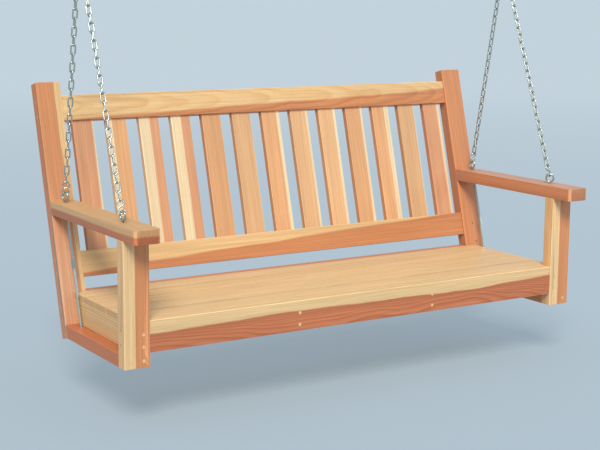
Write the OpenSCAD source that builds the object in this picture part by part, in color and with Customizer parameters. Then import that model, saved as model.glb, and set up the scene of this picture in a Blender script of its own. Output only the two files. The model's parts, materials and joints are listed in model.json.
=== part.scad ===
// Porch swing: a slatted two-seat bench of milled timber, hung by four chains.
//
// Bench pieces are written in bench coordinates: x = 0 at mid length, y = 0 at the front face of
// the front posts, z = 0 at the feet. Pieces of the back are written in the back's own leaning
// coordinates and placed by lean(). hang() moves the bench below the ceiling, whose face is z = 0.

/* [Bench size] */
// Overall length of the bench, over the posts
bench_l = 1580; // [1300:10:2000]
// Depth from the front posts' front face to the back posts' front face, at the feet
bench_d = 395; // [325:5:480]
// Height of the front posts, up to the underside of the arms
front_post_h = 350; // [290:5:425]
// Length of the back posts
back_post_l = 756; // [620:1:910]
// Lean of the back from upright, in degrees
back_lean = 15.3; // [8:0.1:20]

/* [Timber] */
// Width of the posts, arms and rails
stock_w = 76; // [63:1:92]
// Thickness of the posts, arms and side rails
stock_t = 38; // [31:1:46]
// Thickness of the rails of the back
rail_t = 35; // [30:1:40]
// How far rails sit behind the faces of their posts
rail_set = 3; // [0:0.5:5]
// Height of the front and rear seat rails
apron_h = 89; // [80:1:110]
// Height of the seat's cross supports
support_h = 70; // [58:1:84]

/* [Seat and back slats] */
// Thickness of every slat
slat_t = 19; // [15:1:22]
// Number of full seat slats
seat_slats = 5; // [5]
// Gap between seat slats
seat_gap = 5; // [3:0.5:7]
// Width of the narrow strip at the back of the seat
strip_w = 25; // [15:1:28]
// Number of back slats
back_slats = 13; // [13]
// Width of a back slat
back_slat_w = 66; // [55:1:80]
// Gap between the end slats and the back posts
end_gap = 28.5; // [15:0.5:45]
// Depth that slats enter the rails of the back
mortise_d = 10; // [6:1:15]

/* [Arms and rails] */
// Overhang of an arm in front of its post
arm_over = 75; // [40:5:110]
// Radius of an arm's front corners, seen from above
arm_corner_r = 12; // [6:1:20]
// Height of the lower back rail's bottom edge, along the back
lower_rail_s = 174; // [160:2:220]
// How much of the rear seat rail is planed off to make its top level
rear_rail_rise = 5.5; // [3:0.5:12]
// Length of back post standing above the top rail
post_head = 40; // [20:2:70]

/* [Fasteners] */
// Diameter of a wood plug
plug_d = 9.5; // [8:0.5:12]
// Length of a wood plug
plug_l = 7; // [5:1:9]
// Diameter of a screw's shank
screw_d = 4.4; // [3.5:0.1:5]
// Diameter of a seat nail
nail_d = 2.4; // [2:0.1:3]
// Diameter of the dowel in each front post's top
dowel_d = 12; // [10:1:16]

/* [Hanging hardware] */
// Diameter of the rods and of the eyebolts' shanks
rod_d = 8; // [6:0.5:10]
// Distance of the rods outside the seat's ends
rod_off = 6; // [5:0.5:12]
// Distance of the rear rods in front of the back posts
rear_rod_off = 40; // [30:1:60]
// Distance of the front rods behind the front posts
front_rod_off = 29; // [18:1:40]
// Wire diameter of an eyebolt's eye
eye_wire = 6; // [5:0.5:7]
// Radius of an eyebolt's eye, to the middle of the wire
eye_r = 12; // [11:0.5:14]
// Wire diameter of an S-hook
hook_wire = 5; // [4.5:0.5:6]
// Radius of an S-hook's bends, to the middle of the wire
hook_r = 9.5; // [9:0.5:11]
// Wire diameter of the chain
chain_wire = 4.5; // [4:0.5:5]
// Nominal pitch of the chain
chain_pitch = 25; // [22:1:32]
// Outer width of a chain link
link_w = 17; // [16:0.5:20]
// Height of the hanging rings' centres above the feet
apex_h = 1110; // [950:10:1600]
// Distance of the hanging rings behind the front posts' front face
apex_y = 329; // [250:1:360]
// Wire diameter of a hanging ring
ring_wire = 7; // [6:0.5:8]
// Radius of a hanging ring, to the middle of the wire
ring_r = 20; // [18:1:30]
// Wire diameter of a ceiling screw eye
ceiling_wire = 9; // [8:0.5:10]
// Radius of a ceiling screw eye, to the middle of the wire
ceiling_eye_r = 16; // [15:0.5:22]
// Diameter of a ceiling screw's shank
lag_d = 10; // [8:0.5:12]
// Length of a ceiling screw above the ceiling's face
lag_l = 65; // [40:5:100]

/* [Hidden] */
$fn = 48;

eps = 0.01;
through = 1;                                  // how far a cutting tool runs past a face
touch = 0.4;                                  // air between hardware pieces that hang on each other
running = 0.6;                                // radial room of a rod in its hole in the wood
big = 400;                                    // size of the blocks that trim board ends

outer_x = bench_l / 2;                        // outer face of the posts
inner_x = outer_x - stock_w;                  // inner face of the posts
rod_x = inner_x + stock_t + rod_off;
support_top = stock_t + support_h;            // underside of the seat slats
seat_top = support_top + slat_t;
arm_top = front_post_h + stock_t;
top_rail_s = back_post_l - post_head - stock_w;
third_x = inner_x / 3;                        // middle supports stand at the thirds
end_x = inner_x + stock_t / 2;                // middle of the seat's ends
strip_set = 8;                                // the strip's front behind the posts' front faces
strip_gap = 4;                                // between the last slat and the strip
front_gap = 4;                                // between the front rail and the first seat slat
slat_pitch = (2 * inner_x - 2 * end_gap - back_slat_w) / (back_slats - 1);
slat_len = top_rail_s - lower_rail_s - stock_w + 2 * mortise_d;
slat_set = rail_set + (rail_t - slat_t) / 2;  // slats run in the middle of the rails

// Screws: a plug, a head, then the shank.
head_d = plug_d - 1.5;
head_h = 4;
bite = 25;                                    // how far a screw goes into the second board
front_wall = 3;                               // wood between a front screw's tip and the rod
front_bite = min(bite, front_rod_off - rod_d / 2 - running - front_wall);
screw_pair = 41;                              // spacing of the two screws in a rail's end
screw_zs = [stock_t + support_h * 0.27, stock_t + support_h * 0.76];    // into the supports' ends
rear_zs = [stock_t + support_h * 0.2, stock_t + support_h * 0.55];      // the same from behind
side_rise = [8, 13.5];                        // front rail's screws above those of the seat's end
arm_drop = stock_t * 0.55;                    // arm's screws below its top
nail_l = 45;
nail_edge = 16;                               // nails' distance from a slat's edges
nail_side = 8;                                // nails stand this far to either side of the screws
dowel_l = 40;

washer_r = 9;
washer_t = 1.6;
spot_r = washer_r + 1;
nut_r = 7.5;
nut_h = 6.5;
coupler_r = 7;
coupler_l = 26;
coupler_h = 212;                              // height of the coupling nuts' middles
rod_tail = 4;                                 // rod standing out under its nut
eye_rise = eye_r + eye_wire / 2 + 3;          // eyes' centres above the arm's top

// How far each eye and each S-hook is turned: [[left rear, left front], [right rear, right front]].
eye_turns = [[16, 10], [6, 40]];
hook_turns = [[160, 158], [192, 12]];

// The ceiling fitting hangs the ring; its eye's lowest wire is the axis that the bench swings on.
swing_h = apex_h + ring_r - (ring_wire + ceiling_wire) / 2 - touch;
plate_t = 3;
plate_r = 22;
ceiling_neck = 5;
ceiling_h = swing_h + 2 * ceiling_eye_r + ceiling_wire / 2 + ceiling_neck + plate_t;

lean_tan = tan(back_lean);
// y of the back posts' front face at height z, in bench coordinates
function back_y(z) = bench_d + z * lean_tan;

// The seat slats share the depth that the gaps and the strip leave.
seat_y0 = rail_set + stock_t + front_gap;
strip_y = back_y(support_top) + strip_set;
seat_pitch = (strip_y - strip_gap + seat_gap - seat_y0) / seat_slats;
seat_slat_w = seat_pitch - seat_gap;
// The rear seat rail's bottom edge, along the back.
rear_rail_s = support_top / cos(back_lean) + rear_rail_rise - apron_h;

function unit(v) = v / norm(v);
function tilt(v) = acos(v[2] / norm(v));
function heading(v) = atan2(v[1], v[0]);

// ---- places ----

module hang() {
    translate([0, -apex_y, -ceiling_h]) children();
}

// Leaning coordinates of the back: y = 0 on the posts' front faces, z runs up the posts.
module lean() {
    translate([0, bench_d, 0]) rotate([-back_lean, 0, 0]) children();
}

// The axis of a rod: z = 0 at the feet's level, running up.
module rod_line(side, rear) {
    if (rear) lean() translate([side * rod_x, -rear_rod_off, 0]) children();
    else translate([side * rod_x, stock_t + front_rod_off, 0]) children();
}

// Places children at p with their z along v, turned about it.
module aim(p, v, turn) {
    translate(p) rotate([0, tilt(v), heading(v)]) rotate([0, 0, turn - heading(v)]) children();
}

// ---- hardware geometry ----

function rod_dir(rear) = rear ? [0, sin(back_lean), cos(back_lean)] : [0, 0, 1];

// Distance up a rod's line at which it passes height z of the bench.
function rod_at(rear, z) =
    rear ? (z - rear_rod_off * sin(back_lean)) / cos(back_lean) : z;

function rod_foot(side, rear) =
    rear ? [side * rod_x, bench_d - rear_rod_off * cos(back_lean), rear_rod_off * sin(back_lean)]
         : [side * rod_x, stock_t + front_rod_off, 0];

eye_h = arm_top + eye_rise;                   // height of the eyes' centres
function eye_c(side, rear) = rod_foot(side, rear) + rod_at(rear, eye_h) * rod_dir(rear);
function eye_turn(side, rear) = eye_turns[side < 0 ? 0 : 1][rear ? 0 : 1];
function hook_turn(side, rear) = hook_turns[side < 0 ? 0 : 1][rear ? 0 : 1];
function ring_c(side) = [side * rod_x, apex_y, apex_h];

// Middle of the eye's wire where the S-hook pulls on it.
function eye_across(side, rear) =
    let(t = eye_turn(side, rear), u = rod_dir(rear), flat = [-sin(t), cos(t) * u[2], -cos(t) * u[1]])
    flat;
function eye_grip(side, rear) =
    let(c = eye_c(side, rear), d = ring_c(side) - c, a = eye_across(side, rear), u = rod_dir(rear))
    c + eye_r * unit((d * a) * a + (d * u) * u);

function pull(side, rear) = unit(ring_c(side) - eye_grip(side, rear));
function span(side, rear) = norm(ring_c(side) - eye_grip(side, rear));

// Distances along the pull from the eye's wire: S-hook bends, then the chain's end wires.
hook_low = hook_r - (hook_wire + eye_wire) / 2 - touch;
hook_high = hook_low + 2 * hook_r;
chain_from = hook_high + hook_r - (hook_wire + chain_wire) / 2 - touch;
function chain_to(side, rear) = span(side, rear) - ring_r + (ring_wire + chain_wire) / 2 + touch;
function chain_run(side, rear) = chain_to(side, rear) - chain_from - chain_wire - touch;
// An even number of links, so that the last one stands across the ring.
function links(side, rear) = 2 * round(chain_run(side, rear) / chain_pitch / 2);
// A link's half length in whole hundredths, so that its bends and sides meet exactly.
function link_half(p) = (floor(p * 50) / 50 + chain_wire + touch) / 2;

module torus(r, wire, angle = 360) {
    rotate_extrude(angle = angle) translate([r, 0]) circle(d = wire);
}

// ---- screws and plugs: z = 0 on the face of the wood, z up is out of it ----

// $deep is how far below the face its tip lies, set by the module that places the screw.
module screw() {
    translate([0, 0, -plug_l - head_h]) cylinder(d = head_d, h = head_h);
    translate([0, 0, -$deep]) cylinder(d = screw_d, h = $deep - plug_l);
}

module plug() {
    translate([0, 0, -plug_l]) cylinder(d = plug_d, h = plug_l);
}

module screw_hole() {
    translate([0, 0, -plug_l]) cylinder(d = plug_d, h = plug_l + through);
    screw();
}

// Front faces of the front posts: two screws into the seat's end, two into the side rail.
module front_screws(side) {
    $deep = stock_t + front_bite;
    for (z = screw_zs)
        translate([side * end_x, 0, z]) rotate([90, 0, 0]) children();
    for (x = [end_x, outer_x - stock_t / 2])
        translate([side * x, 0, stock_t / 2]) rotate([90, 0, 0]) children();
}

// Outer faces of the front posts, into the front seat rail's ends.
module side_screws(side) {
    $deep = stock_w + bite;
    for (z = screw_zs + side_rise)
        translate([side * outer_x, rail_set + stock_t / 2, z]) rotate([0, side * 90, 0]) children();
}

// Face of the front seat rail, into the middle supports.
module rail_screws(side) {
    $deep = stock_t + bite;
    for (z = screw_zs)
        translate([side * third_x, rail_set, z]) rotate([90, 0, 0]) children();
}

// Outer edges of a back post, into the ends of the three rails.
module post_screws(side) {
    $deep = stock_w + bite;
    for (s = [rear_rail_s + apron_h / 2, lower_rail_s + stock_w / 2, top_rail_s + stock_w / 2])
        for (half = [-1, 1])
            lean() translate([side * outer_x, stock_t / 2, s + half * screw_pair / 2])
                rotate([0, side * 90, 0]) children();
}

// Rear face of a back post, into the arm.
module arm_screws(side) {
    $deep = stock_t + bite;
    for (x = [stock_t / 2, stock_w - stock_t / 2])
        lean() translate([side * (outer_x - x), stock_t, arm_top / cos(back_lean) - arm_drop])
            rotate([-90, 0, 0]) children();
}

// Rear face of a back post, into the side rail and the seat's end.
module rear_screws(side) {
    $deep = stock_t + bite;
    for (z = [stock_t / 2, stock_t + support_h / 2])
        lean() translate([side * end_x, stock_t, z / cos(back_lean)]) rotate([-90, 0, 0]) children();
}

// Rear face of the rear seat rail, into the middle supports.
module support_screws(side) {
    $deep = rail_t + bite;
    for (z = rear_zs)
        lean() translate([side * third_x, rail_set + rail_t, z / cos(back_lean)])
            rotate([-90, 0, 0]) children();
}

module every_screw() {
    for (side = [-1, 1]) {
        front_screws(side) children();
        side_screws(side) children();
        rail_screws(side) children();
        post_screws(side) children();
        arm_screws(side) children();
        rear_screws(side) children();
        support_screws(side) children();
    }
}

// Two nails where seat slat i crosses each support, one to each side of the support's screws.
module slat_nails(i) {
    for (x = [-end_x, -third_x, third_x, end_x])
        for (half = [-1, 1])
            translate([x + half * nail_side,
                       seat_y0 + i * seat_pitch + seat_slat_w / 2 + half * (seat_slat_w / 2 - nail_edge),
                       seat_top - nail_l])
                cylinder(d = nail_d, h = nail_l);
}

module support_nails() {
    for (i = [0 : seat_slats - 1]) slat_nails(i);
}

// ---- timber ----

module back_post(side) {
    difference() {
        lean() translate([side < 0 ? -outer_x : inner_x, 0, 0]) cube([stock_w, stock_t, back_post_l]);
        post_screws(side) screw_hole();
        arm_screws(side) screw_hole();
        rear_screws(side) screw_hole();
    }
}

module dowel(side, room = 0) {
    translate([side * (outer_x - stock_w / 2), stock_t / 2, front_post_h - dowel_l / 2 - room])
        cylinder(d = dowel_d, h = dowel_l + 2 * room);
}

module front_post(side) {
    difference() {
        translate([side < 0 ? -outer_x : inner_x, 0, 0]) cube([stock_w, stock_t, front_post_h]);
        front_screws(side) screw_hole();
        side_screws(side) screw_hole();
        dowel(side, eps);
    }
}

// Everything behind the back posts' front faces, where boards that butt on them are cut off.
module behind_posts() {
    lean() translate([-bench_l, 0, -big]) cube([2 * bench_l, big, 4 * big]);
}

module rod_holes(side) {
    for (rear = [false, true]) rod_line(side, rear)
        translate([0, 0, -stock_t]) cylinder(r = rod_d / 2 + running, h = front_post_h + 4 * stock_t);
}

module arm(side) {
    x0 = side < 0 ? -outer_x : inner_x;
    arm_l = back_y(arm_top) + arm_over;
    difference() {
        translate([x0, -arm_over, front_post_h]) {
            translate([0, arm_corner_r, 0]) cube([stock_w, arm_l, stock_t]);
            translate([arm_corner_r, 0, 0])
                cube([stock_w - 2 * arm_corner_r, arm_corner_r + through, stock_t]);
            for (x = [arm_corner_r, stock_w - arm_corner_r])
                translate([x, arm_corner_r, 0]) cylinder(r = arm_corner_r, h = stock_t);
        }
        behind_posts();
        rod_holes(side);
        arm_screws(side) screw_hole();
        dowel(side, eps);
    }
}

module side_rail(side) {
    difference() {
        translate([side < 0 ? -outer_x : inner_x, stock_t, 0]) cube([stock_w, bench_d, stock_t]);
        behind_posts();
        rod_holes(side);
        for (rear = [false, true]) rod_line(side, rear)
            translate([0, 0, rod_foot_h(rear) - big]) cylinder(r = spot_r, h = big);
        front_screws(side) screw_hole();
        rear_screws(side) screw_hole();
    }
}

// Distance up a rod's line of the seat for the washer under the side rail.
function rod_foot_h(rear) = rod_at(rear, 0) + (rear ? spot_r * lean_tan : 0) + washer_t;

module seat_end(side) {
    difference() {
        translate([side < 0 ? -inner_x - stock_t : inner_x, stock_t, stock_t])
            cube([stock_t, bench_d, support_h]);
        behind_posts();
        front_screws(side) screw_hole();
        rear_screws(side) screw_hole();
        support_nails();
    }
}

module seat_support(side) {
    difference() {
        translate([side * third_x - stock_t / 2, rail_set + stock_t, stock_t])
            cube([stock_t, bench_d, support_h]);
        translate([0, rail_set / cos(back_lean), 0]) behind_posts();
        rail_screws(side) screw_hole();
        support_screws(side) screw_hole();
        support_nails();
    }
}

module back_rail(s, h) {
    translate([-inner_x, rail_set, s]) cube([2 * inner_x, rail_t, h]);
}

function slat_x(i) = -inner_x + end_gap + i * slat_pitch;

module back_slat(i) {
    lean() translate([slat_x(i), slat_set, lower_rail_s + stock_w - mortise_d])
        cube([back_slat_w, slat_t, slat_len]);
}

module top_rail() {
    difference() {
        lean() back_rail(top_rail_s, stock_w);
        for (i = [0 : back_slats - 1]) back_slat(i);
        for (side = [-1, 1]) post_screws(side) screw_hole();
    }
}

module lower_rail() {
    difference() {
        lean() back_rail(lower_rail_s, stock_w);
        for (i = [0 : back_slats - 1]) back_slat(i);
        for (side = [-1, 1]) post_screws(side) screw_hole();
    }
}

// The rear seat rail's top is planed level to carry the seat's strip.
module rear_rail() {
    difference() {
        lean() back_rail(rear_rail_s, apron_h);
        translate([-inner_x, 0, support_top]) cube([2 * inner_x, bench_l, big]);
        for (side = [-1, 1]) {
            post_screws(side) screw_hole();
            support_screws(side) screw_hole();
        }
    }
}

module front_rail() {
    difference() {
        translate([-inner_x, rail_set, stock_t]) cube([2 * inner_x, stock_t, apron_h]);
        for (side = [-1, 1]) {
            side_screws(side) screw_hole();
            rail_screws(side) screw_hole();
        }
    }
}

// Seat slats reach over the seat's ends to their outer faces. The last one is notched there
// round the leaning back posts.
module seat_slat(i) {
    half = inner_x + stock_t;
    difference() {
        translate([-half, seat_y0 + i * seat_pitch, support_top]) cube([2 * half, seat_slat_w, slat_t]);
        slat_nails(i);
        if (i == seat_slats - 1) for (side = [-1, 1]) intersection() {
            behind_posts();
            translate([side < 0 ? -outer_x : inner_x, 0, 0]) cube([stock_w, bench_l, arm_top]);
        }
    }
}

module strip() {
    translate([-inner_x, strip_y, support_top]) cube([2 * inner_x, strip_w, slat_t]);
}

// ---- hardware ----

module eyebolt(side, rear) {
    top = rod_at(rear, eye_h);
    rod_line(side, rear) {
        translate([0, 0, top]) rotate([0, 0, eye_turn(side, rear)]) rotate([0, 90, 0]) torus(eye_r, eye_wire);
        translate([0, 0, coupler_h + touch]) cylinder(d = rod_d, h = top - eye_r - coupler_h - touch);
    }
}

module ring_washer(r, bore, h) {
    difference() {
        cylinder(r = r, h = h);
        translate([0, 0, -through]) cylinder(r = bore, h = h + 2 * through);
    }
}

module coupling_nut(side, rear) {
    rod_line(side, rear) translate([0, 0, coupler_h - coupler_l / 2]) difference() {
        cylinder(r = coupler_r, h = coupler_l, $fn = 6);
        translate([0, 0, -through]) cylinder(d = rod_d, h = coupler_l + 2 * through);
    }
}

module hanger_rod(side, rear) {
    foot = rod_foot_h(rear) - washer_t - nut_h - rod_tail;
    rod_line(side, rear) translate([0, 0, foot]) cylinder(d = rod_d, h = coupler_h - touch - foot);
}

module rod_washer(side, rear) {
    rod_line(side, rear) translate([0, 0, rod_foot_h(rear) - washer_t])
        ring_washer(washer_r, rod_d / 2 + touch, washer_t);
}

module rod_nut(side, rear) {
    rod_line(side, rear) translate([0, 0, rod_foot_h(rear) - washer_t - nut_h]) difference() {
        cylinder(r = nut_r, h = nut_h, $fn = 6);
        translate([0, 0, -through]) cylinder(d = rod_d, h = nut_h + 2 * through);
    }
}

module corners() {
    for (side = [-1, 1]) for (rear = [false, true]) {
        $side = side;
        $rear = rear;
        children();
    }
}

// An S-hook along z, in the x-z plane: z = 0 at the middle of the eye's wire.
// Its two open bends part from their common point, half way up.
hook_sweep = 285;
module s_hook() {
    mirror([1, 0, 0]) {
        translate([0, 0, hook_low]) rotate([90, 0, 0]) rotate([0, 0, 90])
            torus(hook_r, hook_wire, hook_sweep);
        translate([0, 0, hook_high]) rotate([90, 0, 0]) rotate([0, 0, -90])
            torus(hook_r, hook_wire, hook_sweep);
    }
}

module side_hooks(side) {
    for (rear = [false, true])
        aim(eye_grip(side, rear), pull(side, rear), hook_turn(side, rear)) s_hook();
}

// A link along z in the x-z plane: half_l is from its centre to the middle of its end wire.
module link(half_l) {
    bend = (link_w - chain_wire) / 2;
    for (end = [0, 180]) rotate([0, end, 0]) {
        translate([0, 0, half_l - bend]) rotate([90, 0, 0]) torus(bend, chain_wire, 180);
        translate([bend, 0, bend - half_l]) cylinder(d = chain_wire, h = 2 * (half_l - bend));
    }
}

module chain(side, rear) {
    n = links(side, rear);
    p = chain_run(side, rear) / n;
    half_l = link_half(p);
    turn = hook_turn(side, rear);
    twist = turn > 90 ? turn - 180 : turn;    // the first link stands across the hook
    aim(eye_grip(side, rear), pull(side, rear), 0)
        for (i = [0 : n - 1])
            translate([0, 0, chain_from + half_l + i * p])
                rotate([0, 0, twist * (1 - i / (n - 1)) + (i % 2 == 0 ? 90 : 0)]) link(half_l);
}

module hang_ring(side) {
    translate(ring_c(side)) rotate([0, 90, 0]) torus(ring_r, ring_wire);
}

module ceiling_screw(side) {
    neck_h = swing_h + 2 * ceiling_eye_r;
    translate([side * rod_x, apex_y, 0]) {
        translate([0, 0, swing_h + ceiling_eye_r]) rotate([90, 0, 0]) torus(ceiling_eye_r, ceiling_wire);
        translate([0, 0, neck_h]) cylinder(d = lag_d, h = ceiling_h - neck_h + lag_l);
        translate([0, 0, ceiling_h - plate_t]) cylinder(r = plate_r, h = plate_t);
    }
}

// ---- colours ----

pale = [0.86, 0.70, 0.45];
honey = [0.80, 0.56, 0.32];
russet = [0.66, 0.36, 0.20];
zinc = [0.78, 0.80, 0.80];

hang() color(zinc) ceiling_screw(-1);  // ceiling_screw_left
hang() color(zinc) ceiling_screw(1);  // ceiling_screw_right
hang() color(zinc) hang_ring(-1);  // hang_ring_left
hang() color(zinc) hang_ring(1);  // hang_ring_right
hang() color(zinc) chain(-1, false);  // chain_left_front
hang() color(zinc) chain(-1, true);  // chain_left_rear
hang() color(zinc) chain(1, false);  // chain_right_front
hang() color(zinc) chain(1, true);  // chain_right_rear
hang() color(zinc) side_hooks(-1);  // s_hooks_left
hang() color(zinc) side_hooks(1);  // s_hooks_right
hang() color(zinc) for (side = [-1, 1]) eyebolt(side, false);  // eyebolts_front
hang() color(zinc) for (side = [-1, 1]) eyebolt(side, true);  // eyebolts_rear
hang() color(zinc) corners() coupling_nut($side, $rear);  // coupling_nuts
hang() color(zinc) corners() hanger_rod($side, $rear);  // hanger_rods
hang() color(zinc) corners() rod_washer($side, $rear);  // rod_washers
hang() color(zinc) corners() rod_nut($side, $rear);  // rod_nuts
hang() color(russet) back_post(-1);  // back_post_left
hang() color(russet) back_post(1);  // back_post_right
hang() color(honey) front_post(-1);  // front_post_left
hang() color(honey) front_post(1);  // front_post_right
hang() color(honey) arm(-1);  // arm_left
hang() color(russet) arm(1);  // arm_right
hang() color(russet) side_rail(-1);  // side_rail_left
hang() color(russet) side_rail(1);  // side_rail_right
hang() color(pale) top_rail();  // top_back_rail
hang() color(honey) lower_rail();  // lower_back_rail
hang() color(russet) rear_rail();  // rear_seat_rail
hang() color(russet) front_rail();  // front_seat_rail
hang() color(honey) seat_end(-1);  // seat_end_left
hang() color(honey) seat_end(1);  // seat_end_right
hang() color(honey) seat_support(-1);  // seat_support_left
hang() color(honey) seat_support(1);  // seat_support_right
hang() color(russet) back_slat(0);  // back_slat_01
hang() color(honey) back_slat(1);  // back_slat_02
hang() color(honey) back_slat(2);  // back_slat_03
hang() color(honey) back_slat(3);  // back_slat_04
hang() color(honey) back_slat(4);  // back_slat_05
hang() color(honey) back_slat(5);  // back_slat_06
hang() color(honey) back_slat(6);  // back_slat_07
hang() color(honey) back_slat(7);  // back_slat_08
hang() color(honey) back_slat(8);  // back_slat_09
hang() color(russet) back_slat(9);  // back_slat_10
hang() color(honey) back_slat(10);  // back_slat_11
hang() color(honey) back_slat(11);  // back_slat_12
hang() color(russet) back_slat(12);  // back_slat_13
hang() color(pale) seat_slat(0);  // seat_slat_1
hang() color(pale) seat_slat(1);  // seat_slat_2
hang() color(pale) seat_slat(2);  // seat_slat_3
hang() color(pale) seat_slat(3);  // seat_slat_4
hang() color(pale) seat_slat(4);  // seat_slat_5
hang() color(russet) strip();  // seat_strip
hang() color(pale) every_screw() plug();  // wood_plugs
hang() color(zinc) every_screw() screw();  // wood_screws
hang() color(zinc) support_nails();  // seat_nails
hang() color(pale) for (side = [-1, 1]) dowel(side);  // arm_dowels
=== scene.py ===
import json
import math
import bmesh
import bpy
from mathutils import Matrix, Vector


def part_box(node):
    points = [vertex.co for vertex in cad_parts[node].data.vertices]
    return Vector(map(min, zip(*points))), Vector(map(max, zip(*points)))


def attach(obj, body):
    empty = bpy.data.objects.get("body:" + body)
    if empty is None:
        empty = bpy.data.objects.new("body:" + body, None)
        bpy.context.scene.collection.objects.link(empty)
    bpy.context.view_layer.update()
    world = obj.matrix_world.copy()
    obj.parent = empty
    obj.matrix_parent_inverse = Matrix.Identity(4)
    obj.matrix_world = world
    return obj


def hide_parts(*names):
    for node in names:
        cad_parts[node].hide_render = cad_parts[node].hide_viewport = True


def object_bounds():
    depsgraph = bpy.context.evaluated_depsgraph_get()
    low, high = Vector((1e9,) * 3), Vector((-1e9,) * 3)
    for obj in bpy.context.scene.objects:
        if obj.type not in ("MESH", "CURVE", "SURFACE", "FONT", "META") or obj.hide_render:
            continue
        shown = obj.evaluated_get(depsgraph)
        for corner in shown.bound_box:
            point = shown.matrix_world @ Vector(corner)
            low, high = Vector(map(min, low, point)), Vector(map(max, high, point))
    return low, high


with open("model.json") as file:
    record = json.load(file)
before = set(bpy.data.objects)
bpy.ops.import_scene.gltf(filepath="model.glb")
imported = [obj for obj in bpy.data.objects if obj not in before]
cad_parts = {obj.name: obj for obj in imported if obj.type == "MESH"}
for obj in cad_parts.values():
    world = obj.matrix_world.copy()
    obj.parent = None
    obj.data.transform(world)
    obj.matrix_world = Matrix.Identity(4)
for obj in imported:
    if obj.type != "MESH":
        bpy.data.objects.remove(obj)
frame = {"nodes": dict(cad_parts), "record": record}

# %% [markdown]
# # A hanging porch swing
# The swing is a slatted bench of planed timber, hung by four chains. Its frame comes from the
# design model: every board, bolt and link is already in its place, in metres, with the origin on
# the ceiling between the two screws. What is left is what a joiner and an oiler would do: ease
# the edges, choose boards with the right grain and colour, and plate the ironwork.

cad_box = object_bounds()
record = frame["record"]
body_of_node = {n: body for body, names in record["behaviour"]["bodies"].items() for n in names}
print("frame size, m:", [round(v, 3) for v in cad_box[1] - cad_box[0]])

# %% [markdown]
# ## Where the boards lie
# Wood is a solid texture here, so each board needs its own directions: u runs along the grain, v
# across the board and w through it. Most boards lie along the row's axes. The boards of the back
# lean, and the lean is worked out from the height and the depth of a back post's box.

# %% The lean of the back and the boards' directions
post_low, post_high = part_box("back_post_left")
front_low, front_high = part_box("front_post_left")
stock_t = front_high.y - front_low.y
post_rise = post_high.z - post_low.z
post_reach = post_high.y - post_low.y


def lean_error(angle):
    """How far a post of the measured height and this lean misses the measured depth."""
    length = (post_rise - stock_t * math.sin(angle)) / math.cos(angle)
    return length * math.sin(angle) + stock_t * math.cos(angle) - post_reach


STEEPEST = math.radians(40)
LEAN_STEP = 1e-6
low, high = 0.0, STEEPEST
while high - low > LEAN_STEP:
    middle = (low + high) / 2
    low, high = (middle, high) if lean_error(middle) < 0 else (low, middle)
lean = (low + high) / 2

AXIS_X = Vector((1, 0, 0))
AXIS_Y = Vector((0, 1, 0))
AXIS_Z = Vector((0, 0, 1))
UP_BACK = Vector((0, math.sin(lean), math.cos(lean)))
print("lean of the back, degrees:", round(math.degrees(lean), 2))

# %% [markdown]
# ## The camera
# The camera stands to the left of the bench and above it, looking down a little. It could be aimed
# with a Track To constraint, but a turn, a dip and a roll written out as three angles say exactly
# how it stands. Its lens is long, so the near end is only slightly larger than the far one.

# %% The camera
CAMERA_PLACE = (-2.2487, -3.5212, -0.1681)
BENCH_MIDDLE = Vector((0, 0, -0.9))
CAMERA_TURN = math.radians(32.15)     # looks this far to the right of straight at the back
CAMERA_DIP = math.radians(9.8)
CAMERA_ROLL = math.radians(0.41)
CAMERA_LENS = 81.15                   # mm, on a 36 mm sensor

camera_data = bpy.data.cameras.new("camera")
camera_data.lens = CAMERA_LENS
camera_data.sensor_width = 36
camera = bpy.data.objects.new("camera", camera_data)
bpy.context.scene.collection.objects.link(camera)
camera.location = CAMERA_PLACE
camera.rotation_mode = "QUATERNION"
camera.rotation_quaternion = (
    Matrix.Rotation(-CAMERA_TURN, 4, "Z")
    @ Matrix.Rotation(math.radians(90) - CAMERA_DIP, 4, "X")
    @ Matrix.Rotation(CAMERA_ROLL, 4, "Z")
).to_quaternion()
bpy.context.scene.camera = camera
print("camera to bench, m:", round((camera.location - BENCH_MIDDLE).length, 2))

# %% [markdown]
# ## A way to write materials
# A material is a chain of nodes, and could be wired by hand, socket by socket. That hides the sums
# among the wiring. Value wraps one output instead, so that outputs can be added, scaled and divided
# like numbers, and Maker places every other node. Colours go through Mix nodes, because a Math
# node would turn them grey.

# %% Shader maths
class Value:
    """One output socket of a material's nodes, with arithmetic on it."""

    def __init__(self, maker, socket):
        self.maker = maker
        self.socket = socket

    def _sum(self, operation, first, second):
        return self.maker.add("ShaderNodeMath", {"operation": operation}, {0: first, 1: second})

    def __add__(self, other):
        return self._sum("ADD", self, other)

    def __radd__(self, other):
        return self._sum("ADD", other, self)

    def __sub__(self, other):
        return self._sum("SUBTRACT", self, other)

    def __rsub__(self, other):
        return self._sum("SUBTRACT", other, self)

    def __mul__(self, other):
        return self._sum("MULTIPLY", self, other)

    def __rmul__(self, other):
        return self._sum("MULTIPLY", other, self)

    def __truediv__(self, other):
        return self._sum("DIVIDE", self, other)


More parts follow.
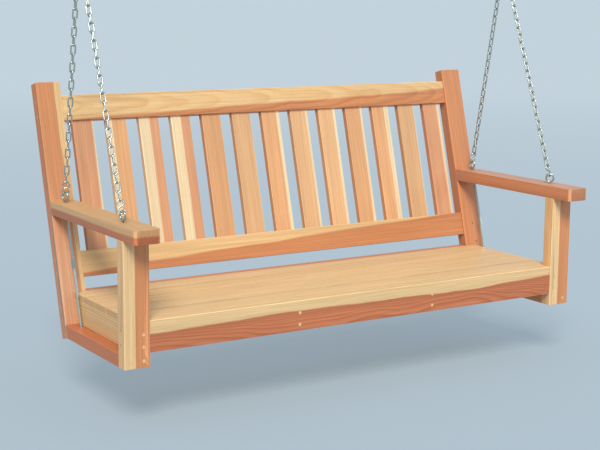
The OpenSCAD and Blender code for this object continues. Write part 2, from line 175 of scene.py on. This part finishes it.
class Maker:
    """A material being made: add() places any node and gives back its chosen output."""

    def __init__(self, name):
        self.material = bpy.data.materials.new(name)
        self.material.use_nodes = True
        self.tree = self.material.node_tree
        self.shader = self.tree.nodes["Principled BSDF"]

    def add(self, kind, settings=None, sockets=None, out=0):
        node = self.tree.nodes.new(kind)
        for key, value in (settings or {}).items():
            if key == "stops":
                self.set_stops(node.color_ramp, value)
            else:
                setattr(node, key, value)
        for key, value in (sockets or {}).items():
            self.feed(node.inputs[key], value)
        return Value(self, node.outputs[out])

    def set_stops(self, ramp, stops):
        while len(ramp.elements) < len(stops):
            ramp.elements.new(0.5)
        for element, (place, level) in zip(ramp.elements, stops):
            element.position = place
            element.color = (level, level, level, 1)

    def feed(self, socket, value):
        if isinstance(value, Value):
            self.tree.links.new(value.socket, socket)
        elif isinstance(value, (tuple, list, Vector)) and socket.type == "RGBA":
            socket.default_value = (*value, 1)
        else:
            socket.default_value = value

    def blend(self, share, first, second, how="MIX"):
        """A colour between two colours, by a share from 0 to 1."""
        node = self.tree.nodes.new("ShaderNodeMix")
        node.data_type = "RGBA"
        node.blend_type = how
        self.feed(node.inputs[0], share)
        self.feed(node.inputs[6], first)
        self.feed(node.inputs[7], second)
        return Value(self, node.outputs[2])

    def noise(self, place, scale, detail=2.0, seed=0.0, roughness=0.5):
        return self.add(
            "ShaderNodeTexNoise",
            {"noise_dimensions": "4D"},
            {"Vector": place, "Scale": scale, "Detail": detail, "W": seed, "Roughness": roughness},
        )

    def stretch(self, place, factors):
        return self.add("ShaderNodeVectorMath", {"operation": "MULTIPLY"}, {0: place, 1: factors})

    def step(self, value, low, high):
        """0 below low, 1 above high, smooth between."""
        return self.add(
            "ShaderNodeMapRange",
            {"interpolation_type": "SMOOTHSTEP"},
            {"Value": value, "From Min": low, "From Max": high},
        )

    def root(self, value):
        return self.add("ShaderNodeMath", {"operation": "SQRT"}, {0: value})

    def size_of(self, value):
        return self.add("ShaderNodeMath", {"operation": "ABSOLUTE"}, {0: value})

    def put(self, name, value):
        self.feed(self.shader.inputs[name], value)


# %% [markdown]
# ## Wood from inside the tree
# A board shows what the saw met: rings round the pith, seen long on the faces and as arcs on the
# ends, and two colours of wood, red-brown heart and pale sap, with a border that wanders. Stripes
# laid along each face would be simpler, but they would not meet at the corners. So the material is
# solid. Each board says where its pith lay, how wide the rings are, and where across its width the
# heart gives way to sap, and every face follows from that.

# %% The wood material
SLASH_CUT = (0.004, -0.13)            # pith straight under the face: long arches
RIFT_CUT = (0.11, -0.05)              # pith off to one side: close straight lines
LINE_SHADE = Vector((0.80, 0.66, 0.52))
END_SHADE = (0.62, 0.50, 0.44)
# Painted shade for a board's flanks, the faces across its width, where less light falls.
PAINTED_SHADE_ON_FLANKS = (0.86, 0.66, 0.56)


def wood(name, centre, along, across, seed, heart, sap=None, split=None, side=1, slope=0.0,
         soft=0.0015, wander=0.006, pith=RIFT_CUT, ring=0.0034, taper=0.010, figure=0.5,
         flank=0.0, knots=(), gloss=0.40, rim=0.2, worn=0.6, far=None):
    """A board's wood. With a split, in metres from the board's middle, the heart lies on the
    side of it away from side, and sap beyond. Without one the board is all heart. Toward its far
    end the heart can drift to another shade."""
    m = Maker(name)
    through = along.cross(across)
    turn = Matrix((along, across, through)).transposed().to_euler()
    place = m.add("ShaderNodeTexCoord", out="Object")
    local = m.add(
        "ShaderNodeMapping",
        {"vector_type": "TEXTURE"},
        {"Vector": place, "Location": centre, "Rotation": turn},
    )
    u, v, w = (m.add("ShaderNodeSeparateXYZ", {}, {0: local}, out=part) for part in range(3))

    # The trunk is never quite straight, so the pith line wanders slowly along the board.
    bend = m.noise(m.stretch(local, (1.7, 0.5, 0.5)), 1.0, 2.0, seed) - 0.5
    ripple = m.noise(m.stretch(local, (11.0, 14.0, 14.0)), 1.0, 2.0, seed + 3) - 0.5
    dv = v - pith[0] + bend * 0.05
    dw = w - pith[1] + u * taper + bend * 0.03
    radius = m.root(dv * dv + dw * dw) + ripple * 0.003
    knot_core = None
    for ku, kv, size in knots:
        du_k = (u - ku) / (1.8 * size)
        dv_k = (v - kv) / size
        reach = m.root(du_k * du_k + dv_k * dv_k)
        core = m.step(reach, 1.3, 0.6)
        knot_core = core if knot_core is None else knot_core + core
        radius = radius + m.step(reach, 6.0, 0.5) * 0.005
    width_change = m.noise(m.add("ShaderNodeCombineXYZ", {}, {0: radius * 45.0}), 1.0, 1.0, seed + 5)
    turns = radius / ring + width_change * 2.4
    year = m.add("ShaderNodeMath", {"operation": "FRACT"}, {0: turns})
    late = m.add(
        "ShaderNodeValToRGB",
        {"stops": ((0.0, 0.0), (0.40, 0.10), (0.85, 1.0), (1.0, 0.0))},
        {0: year},
    )
    strength = m.noise(m.add("ShaderNodeCombineXYZ", {}, {0: radius * 150.0}), 1.0, 1.0, seed + 6)
    late = late * (strength * 1.5 + 0.15)

    fibre = m.noise(m.stretch(local, (12.0, 1100.0, 1100.0)), 1.0, 2.0, seed + 7)
    hair = m.step(m.noise(m.stretch(local, (4.0, 360.0, 360.0)), 1.0, 2.0, seed + 8), 0.36, 0.64)
    streak = m.noise(m.stretch(local, (1.3, 150.0, 150.0)), 1.0, 3.0, seed + 9)
    band = m.noise(m.stretch(local, (0.8, 34.0, 34.0)), 1.0, 2.0, seed + 15)
    patch = m.noise(m.stretch(local, (3.0, 9.0, 9.0)), 1.0, 2.0, seed + 11)
    pore = m.step(
        m.noise(m.stretch(local, (60.0, 1500.0, 1500.0)), 1.0, 1.0, seed + 13), 0.60, 0.72
    )

    heart_line = heart * LINE_SHADE
    tone = m.blend(patch, heart * 1.10, heart * 0.90)
    if far is not None:
        drifted = m.blend(patch, far * 1.06, far * 0.94)
        tone = m.blend(m.step(u + bend * 0.3, -0.25, 0.20), tone, drifted)
    line = heart_line
    if split is not None:
        edge = u * slope + split + bend * (wander * 7) + ripple * wander
        share = m.step((edge - v) * side, -soft, soft)
        tone = m.blend(share, m.blend(patch, sap * 1.05, sap * 0.95), tone)
        border = m.step((edge - v) * side, -0.001, 0.002) * m.step((edge - v) * side, 0.016, 0.004)
        tone = m.blend(border * rim, tone, heart * 0.72)
        line = m.blend(share, sap * Vector((0.90, 0.80, 0.66)), heart_line)
    tone = m.blend(late * figure, tone, line)
    tone = m.blend(0.85, tone, m.blend(streak, (1.24, 1.22, 1.19), (0.77, 0.74, 0.71)), "MULTIPLY")
    tone = m.blend(0.50, tone, m.blend(band, (1.14, 1.14, 1.12), (0.84, 0.82, 0.80)), "MULTIPLY")
    tone = m.blend(0.55, tone, m.blend(hair, (1.13, 1.12, 1.10), (0.87, 0.84, 0.80)), "MULTIPLY")
    tone = m.blend(0.40, tone, m.blend(fibre, (1.35, 1.34, 1.32), (0.62, 0.60, 0.58)), "MULTIPLY")
    tone = m.blend(pore * 0.30, tone, m.blend(1.0, tone, END_SHADE, "MULTIPLY"))
    if knot_core is not None:
        tone = m.blend(knot_core * 0.85, tone, (0.14, 0.04, 0.02))

    # Ends drink more oil and go darker, flanks get painted shade, and arrises get a painted highlight.
    facing = m.add("ShaderNodeTexCoord", out="Normal")
    to_end, to_flank, to_face = (
        m.size_of(m.add("ShaderNodeVectorMath", {"operation": "DOT_PRODUCT"}, {0: facing, 1: way},
                        out=1))
        for way in (along, across, through)
    )
    end = m.step(to_end, 0.80, 0.97)
    tone = m.blend(end * 0.6, tone, m.blend(1.0, tone, END_SHADE, "MULTIPLY"))
    # Painted shade: faces that look across the board are darkened.
    if flank:
        flank_shade_mask = m.step(to_flank, 0.85, 0.98)
        tone = m.blend(flank_shade_mask * flank, tone, m.blend(1.0, tone, PAINTED_SHADE_ON_FLANKS, "MULTIPLY"))
    # Painted highlight: arrises, where no face looks square along the board, are made lighter and
    # cooler.
    flattest = m.add("ShaderNodeMath", {"operation": "MAXIMUM"}, {
        0: to_end, 1: m.add("ShaderNodeMath", {"operation": "MAXIMUM"}, {0: to_flank, 1: to_face})
    })
    arris = m.step(flattest, 0.985, 0.93)
    tone = m.blend(arris * worn, tone, m.blend(1.0, tone, (1.35, 1.42, 1.50), "MULTIPLY"))
    m.put("Base Color", tone)
    m.put("Roughness", gloss + fibre * 0.16 + late * -0.04 + end * 0.2)
    relief = fibre * 0.5 + late * 0.4 + pore * -0.6
    m.put("Normal", m.add("ShaderNodeBump", {}, {"Height": relief, "Distance": 0.0003, "Strength": 0.3}))
    return m.material


# %% [markdown]
# ## Zinc and steel
# The chain and bolts are bright zinc, dulled a little outdoors. A plain grey metal would look like
# plastic at this size, so soft yellowish clouds and fine dark specks change its colour and its
# roughness together. The screws and nails are darker, duller steel from the same recipe.

# %% Ironwork materials
def zinc(name, shade, rough, seed):
    """Bright zinc plate: a cool metal with faint yellow and blue clouds and fine wear."""
    m = Maker(name)
    place = m.add("ShaderNodeTexCoord", out="Object")
    cloud = m.noise(place, 45.0, 3.0, seed)
    speck = m.noise(place, 900.0, 2.0, seed + 2)
    tone = m.blend(m.step(cloud, 0.4, 0.65), shade, shade * Vector((1.04, 1.0, 0.88)))
    tone = m.blend(m.step(speck, 0.55, 0.75), tone, shade * 0.72)
    m.put("Base Color", tone)
    m.shader.inputs["Metallic"].default_value = 1.0
    m.put("Roughness", rough + cloud * 0.12 + speck * 0.1)
    m.put("Normal", m.add("ShaderNodeBump", {}, {"Height": speck, "Distance": 0.0001, "Strength": 0.25}))
    return m.material


ZINC = Vector((0.50, 0.545, 0.525))
chain_zinc = zinc("chain_zinc", ZINC, 0.16, 1.0)
bolt_zinc = zinc("bolt_zinc", ZINC * 0.92, 0.20, 5.0)
rod_zinc = zinc("rod_zinc", ZINC * 1.2, 0.18, 9.0)
nail_steel = zinc("nail_steel", Vector((0.30, 0.27, 0.25)), 0.45, 13.0)

# %% [markdown]
# ## Planing and easing the boards
# The design's boards have knife edges. A joiner takes the sharpness off with a few strokes of a
# plane, and that narrow arris catches the light along every board. A Bevel modifier could do it,
# but the design mesh is made of triangles, and it would bevel around their seams. So a copy is
# welded, its flat faces are joined, and only its long sharp edges are bevelled in mesh code.

# %% Copies that stand for the design's pieces
ARRIS = 0.0014                        # m, how much a plane takes off
LONG_EDGE = 0.012                     # m, edges shorter than this stay as they are
SHARP_ANGLE = math.radians(40)
BOARD_SMOOTH = 24                     # degrees between faces that still shade as one
WIRE_SMOOTH = 35
WELD = 2e-6                           # m, points nearer than this are one
FLAT_ANGLE = math.radians(0.6)        # faces that differ by less than this are one


def welded(node):
    """A copy of a design piece as one welded bmesh with whole flat faces."""
    bm = bmesh.new()
    bm.from_mesh(frame["nodes"][node].data)
    bmesh.ops.remove_doubles(bm, verts=bm.verts, dist=WELD)
    bmesh.ops.dissolve_limit(bm, angle_limit=FLAT_ANGLE, verts=bm.verts, edges=bm.edges)
    return bm


def settle(bm, name, node, material, smooth):
    """Turns a bmesh into the piece that stands for a design node."""
    mesh = bpy.data.meshes.new(name)
    bm.to_mesh(mesh)
    bm.free()
    piece = bpy.data.objects.new(name, mesh)
    bpy.context.scene.collection.objects.link(piece)
    mesh.materials.append(material)
    mesh.shade_smooth()
    mesh.set_sharp_from_angle(angle=math.radians(smooth))
    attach(piece, body_of_node[node])
    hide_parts(node)


def eased(node, material):
    """The piece for a board, with its long sharp edges taken off."""
    bm = welded(node)
    edges = [
        e for e in bm.edges
        if len(e.link_faces) == 2 and e.calc_length() > LONG_EDGE
        and e.calc_face_angle(0) > SHARP_ANGLE
    ]
    bmesh.ops.bevel(
        bm, geom=edges, affect="EDGES", offset=ARRIS, segments=2, profile=0.5, material=-1,
        clamp_overlap=True,
    )
    settle(bm, node + "_board", node, material, BOARD_SMOOTH)


def middle_of(node):
    lo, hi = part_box(node)
    return (lo + hi) / 2


# %% [markdown]
# ## Choosing the boards
# Boards from one stack can differ from red-brown to cream, and a maker spends the best ones where
# they show. One shared material would lose that, so each board gets its own heart
# colour, its own sap where it has some, and the line between them. The left back post drifts from
# pinkish at its foot to orange at its top.

# %% The boards and their wood
PALE = Vector((0.755, 0.505, 0.252))
CREAM = Vector((0.83, 0.66, 0.43))
WHEAT = Vector((0.80, 0.575, 0.315))
OLIVE = Vector((0.74, 0.50, 0.25))
AMBER = Vector((0.64, 0.268, 0.117))
TAWNY = Vector((0.585, 0.240, 0.096))
RUST = Vector((0.60, 0.205, 0.092))
BRICK = Vector((0.50, 0.165, 0.070))
ROSE = Vector((0.68, 0.34, 0.185))
HONEY = Vector((0.74, 0.40, 0.195))
FAWN = Vector((0.78, 0.47, 0.245))


def lay(node, along, across, seed, heart, **look):
    eased(node, wood(node + "_wood", middle_of(node), along, across, seed, heart, **look))


lay("back_post_left", UP_BACK, AXIS_X, 1.0, Vector((0.67, 0.375, 0.235)), sap=PALE, split=0.022,
    flank=0.8, far=TAWNY * 1.04)
lay("back_post_right", UP_BACK, AXIS_X, 4.0, AMBER * 0.94, flank=0.5,
    knots=((-0.17, 0.004, 0.0022), (-0.235, 0.010, 0.0022)))
for name, seed in (("front_post_left", 7.0), ("front_post_right", 10.0)):
    lay(name, AXIS_Z, AXIS_X, seed, AMBER, sap=Vector((0.81, 0.56, 0.30)), split=-0.005, side=-1,
        pith=(0.14, 0.01), wander=0.001, rim=0.1, flank=0.45)
lay("arm_left", -AXIS_Y, AXIS_Z, 13.0, BRICK * 1.15, sap=Vector((0.67, 0.40, 0.19)), split=0.001,
    wander=0.002, soft=0.004, figure=0.8, worn=0.8)
lay("arm_right", -AXIS_Y, AXIS_X, 16.0, Vector((0.64, 0.305, 0.165)), sap=ROSE, split=0.029,
    pith=SLASH_CUT, gloss=0.28, flank=0.6, worn=0.9)
lay("side_rail_left", -AXIS_Y, AXIS_X, 19.0, BRICK * 1.12, pith=SLASH_CUT)
lay("side_rail_right", -AXIS_Y, AXIS_X, 22.0, AMBER)
lay("top_back_rail", AXIS_X, UP_BACK, 25.0, TAWNY, sap=PALE, split=-0.013, slope=0.032,
    pith=SLASH_CUT, taper=0.02, figure=0.85, soft=0.005, wander=0.004, rim=0.1)
lay("lower_back_rail", AXIS_X, UP_BACK, 28.0, TAWNY, sap=PALE * 0.97, split=0.0074, slope=0.046,
    soft=0.004, wander=0.004)
lay("rear_seat_rail", AXIS_X, UP_BACK, 31.0, RUST)
lay("front_seat_rail", AXIS_X, AXIS_Z, 34.0, RUST, sap=WHEAT, split=0.0115, slope=0.005,
    pith=(-0.05, -0.07), figure=1.0, rim=0.5, soft=0.003)
for name, seed in (("seat_end_left", 37.0), ("seat_end_right", 40.0),
                   ("seat_support_left", 43.0), ("seat_support_right", 46.0)):
    lay(name, -AXIS_Y, AXIS_Z, seed, OLIVE, ring=0.006, figure=1.0)

# %% [markdown]
# ## Thirteen back slats
# The slats are ripped from several boards, so neighbours never match. A random colour would not put
# the pale edges in the right places. A short table does: each row gives the shade of the heart,
# where the sap starts, and the side it lies on.

# %% The back slats
SLATS = (
    (ROSE, 0.028, 1), (HONEY, -0.014, -1), (ROSE * 0.99, 0.001, -1), (ROSE * 0.97, 0.001, -1),
    (HONEY * 0.92, None, 1), (FAWN * 0.88, None, 1), (HONEY * 0.97, 0.021, 1), (FAWN * 0.93, 0.024, 1),
    (FAWN * 0.97, 0.023, 1), (HONEY * 0.95, 0.024, 1), (HONEY * 1.02, 0.015, 1),
    (FAWN * 0.86, 0.030, 1), (ROSE * 1.0, 0.025, 1),
)
for number, (heart, split, side) in enumerate(SLATS, start=1):
    lay(f"back_slat_{number:02d}", UP_BACK, AXIS_X, 50.0 + 17 * number, heart, sap=CREAM,
        split=split, side=side, pith=(0.10 + 0.01 * (number % 4), 0.03), figure=0.35, wander=0.001,
        soft=0.0025, flank=0.9, rim=0.0, worn=0.8)

# %% [markdown]
# ## The seat
# The seat slats are straight grained and all from one pale batch, with a darker strip behind. Their
# edges get no painted highlight, because pale arrises there would draw a white line at every gap.

# %% The seat slats
for number in range(1, 6):
    lay(f"seat_slat_{number}", AXIS_X, AXIS_Y, 300.0 + 17 * number, WHEAT,
        pith=(0.12 * (-1) ** number, -0.04), figure=0.6, flank=1.0, worn=0.0)
lay("seat_strip", AXIS_X, AXIS_Y, 420.0, AMBER)

# %% [markdown]
# ## Small fastenings
# Plugs are cut from paler wood than the boards they fill, which is why they show as dots. They could
# be painted into the boards, but as pieces of their own they keep their round edges. The dowels,
# screws and nails are nearly all hidden, and get the plain version of their material.

# %% Plugs, dowels, screws and nails
plug_wood = wood("plug_wood", Vector((0, 0, 0)), AXIS_X, AXIS_Y, 430.0, PALE * 1.08)
dowel_wood = wood("dowel_wood", Vector((0, 0, 0)), AXIS_Z, AXIS_Y, 433.0, PALE)


def polished(node, material, smooth=WIRE_SMOOTH):
    settle(welded(node), node + "_piece", node, material, smooth)


polished("wood_plugs", plug_wood)
polished("arm_dowels", dowel_wood)
polished("wood_screws", nail_steel)
polished("seat_nails", nail_steel)

# %% [markdown]
# ## The hanging gear
# The chain is bent wire and the eyes are bent rod. Both could be curves with a round bevel, but the
# design's mesh already holds every link in its place, so it is kept and shaded smooth along the
# wire, with a crease only where faces really turn.

# %% Chains, hooks, rings and bolts
for side in ("left", "right"):
    polished(f"ceiling_screw_{side}", bolt_zinc)
    polished(f"hang_ring_{side}", bolt_zinc)
    polished(f"s_hooks_{side}", chain_zinc)
    for end in ("front", "rear"):
        polished(f"chain_{side}_{end}", chain_zinc)
for node in ("eyebolts_front", "eyebolts_rear", "coupling_nuts", "rod_washers", "rod_nuts"):
    polished(node, bolt_zinc)
polished("hanger_rods", rod_zinc)

# %% [markdown]
# ## Floor and light
# The swing hangs over a wide, pale blue-grey floor. The key is a broad sun from the front left,
# because a sun lights both ends of a long bench alike, where an area lamp falls off. A small lamp on
# the right lifts the far end. The floor glows a little by itself, so that the shadow stays light.

# %% Floor and light
FLOOR_DROP = 0.17                     # m, below the bench's feet
FLOOR_R = 320.0                       # m, so that the floor fills the view
FLOOR_SIDES = 96
BACKDROP = (0.445, 0.552, 0.638)

floor_bm = bmesh.new()
bmesh.ops.create_circle(floor_bm, cap_ends=True, segments=FLOOR_SIDES, radius=FLOOR_R)
bmesh.ops.translate(floor_bm, verts=floor_bm.verts, vec=(0, 0, cad_box[0].z - FLOOR_DROP))
floor_mesh = bpy.data.meshes.new("floor")
floor_bm.to_mesh(floor_mesh)
floor_bm.free()
floor = bpy.data.objects.new("floor", floor_mesh)
bpy.context.scene.collection.objects.link(floor)
paint = Maker("floor_paint")
spot = paint.add("ShaderNodeTexCoord", out="Object")
away = paint.add("ShaderNodeVectorMath", {"operation": "LENGTH"}, {0: spot}, out=1)
mottle = paint.noise(spot, 9.0, 3.0, 0.0) * 0.06
# Painted light: the floor's colour and its own glow get lighter away from the bench, and the glow
# lightens the bench's shadow.
share = paint.step(away, 0.5, 14.0) + mottle
paint.put("Base Color", paint.blend(share, (0.210, 0.245, 0.274), (0.265, 0.294, 0.316)))
paint.put("Emission Color", paint.blend(share, (0.218, 0.272, 0.312), (0.275, 0.326, 0.361)))
paint.shader.inputs["Emission Strength"].default_value = 1.0
paint.shader.inputs["Roughness"].default_value = 1.0
paint.shader.inputs["Specular IOR Level"].default_value = 0.0
floor_mesh.materials.append(paint.material)

world = bpy.data.worlds.new("studio")
bpy.context.scene.world = world
world.use_nodes = True
world.node_tree.nodes["Background"].inputs["Color"].default_value = (*BACKDROP, 1)
world.node_tree.nodes["Background"].inputs["Strength"].default_value = 1.0


def lamp(name, kind, toward, energy, colour, **shape):
    """A lamp that shines from the point given toward the middle of the bench."""
    data = bpy.data.lights.new(name, kind)
    data.energy = energy
    data.color = colour
    for key, value in shape.items():
        setattr(data, key, value)
    thing = bpy.data.objects.new(name, data)
    thing.location = toward
    thing.rotation_mode = "QUATERNION"
    thing.rotation_quaternion = (BENCH_MIDDLE - Vector(toward)).to_track_quat("-Z", "Y")
    bpy.context.scene.collection.objects.link(thing)


lamp("key_light", "SUN", (-2.4, -3.64, 3.2), 2.65, (1.0, 0.93, 0.84), angle=math.radians(22))
lamp("fill_light", "AREA", (5.5, -4.0, 1.5), 50, (1.0, 0.96, 0.92), size=3.0)
bpy.context.scene.view_settings.view_transform = "Standard"
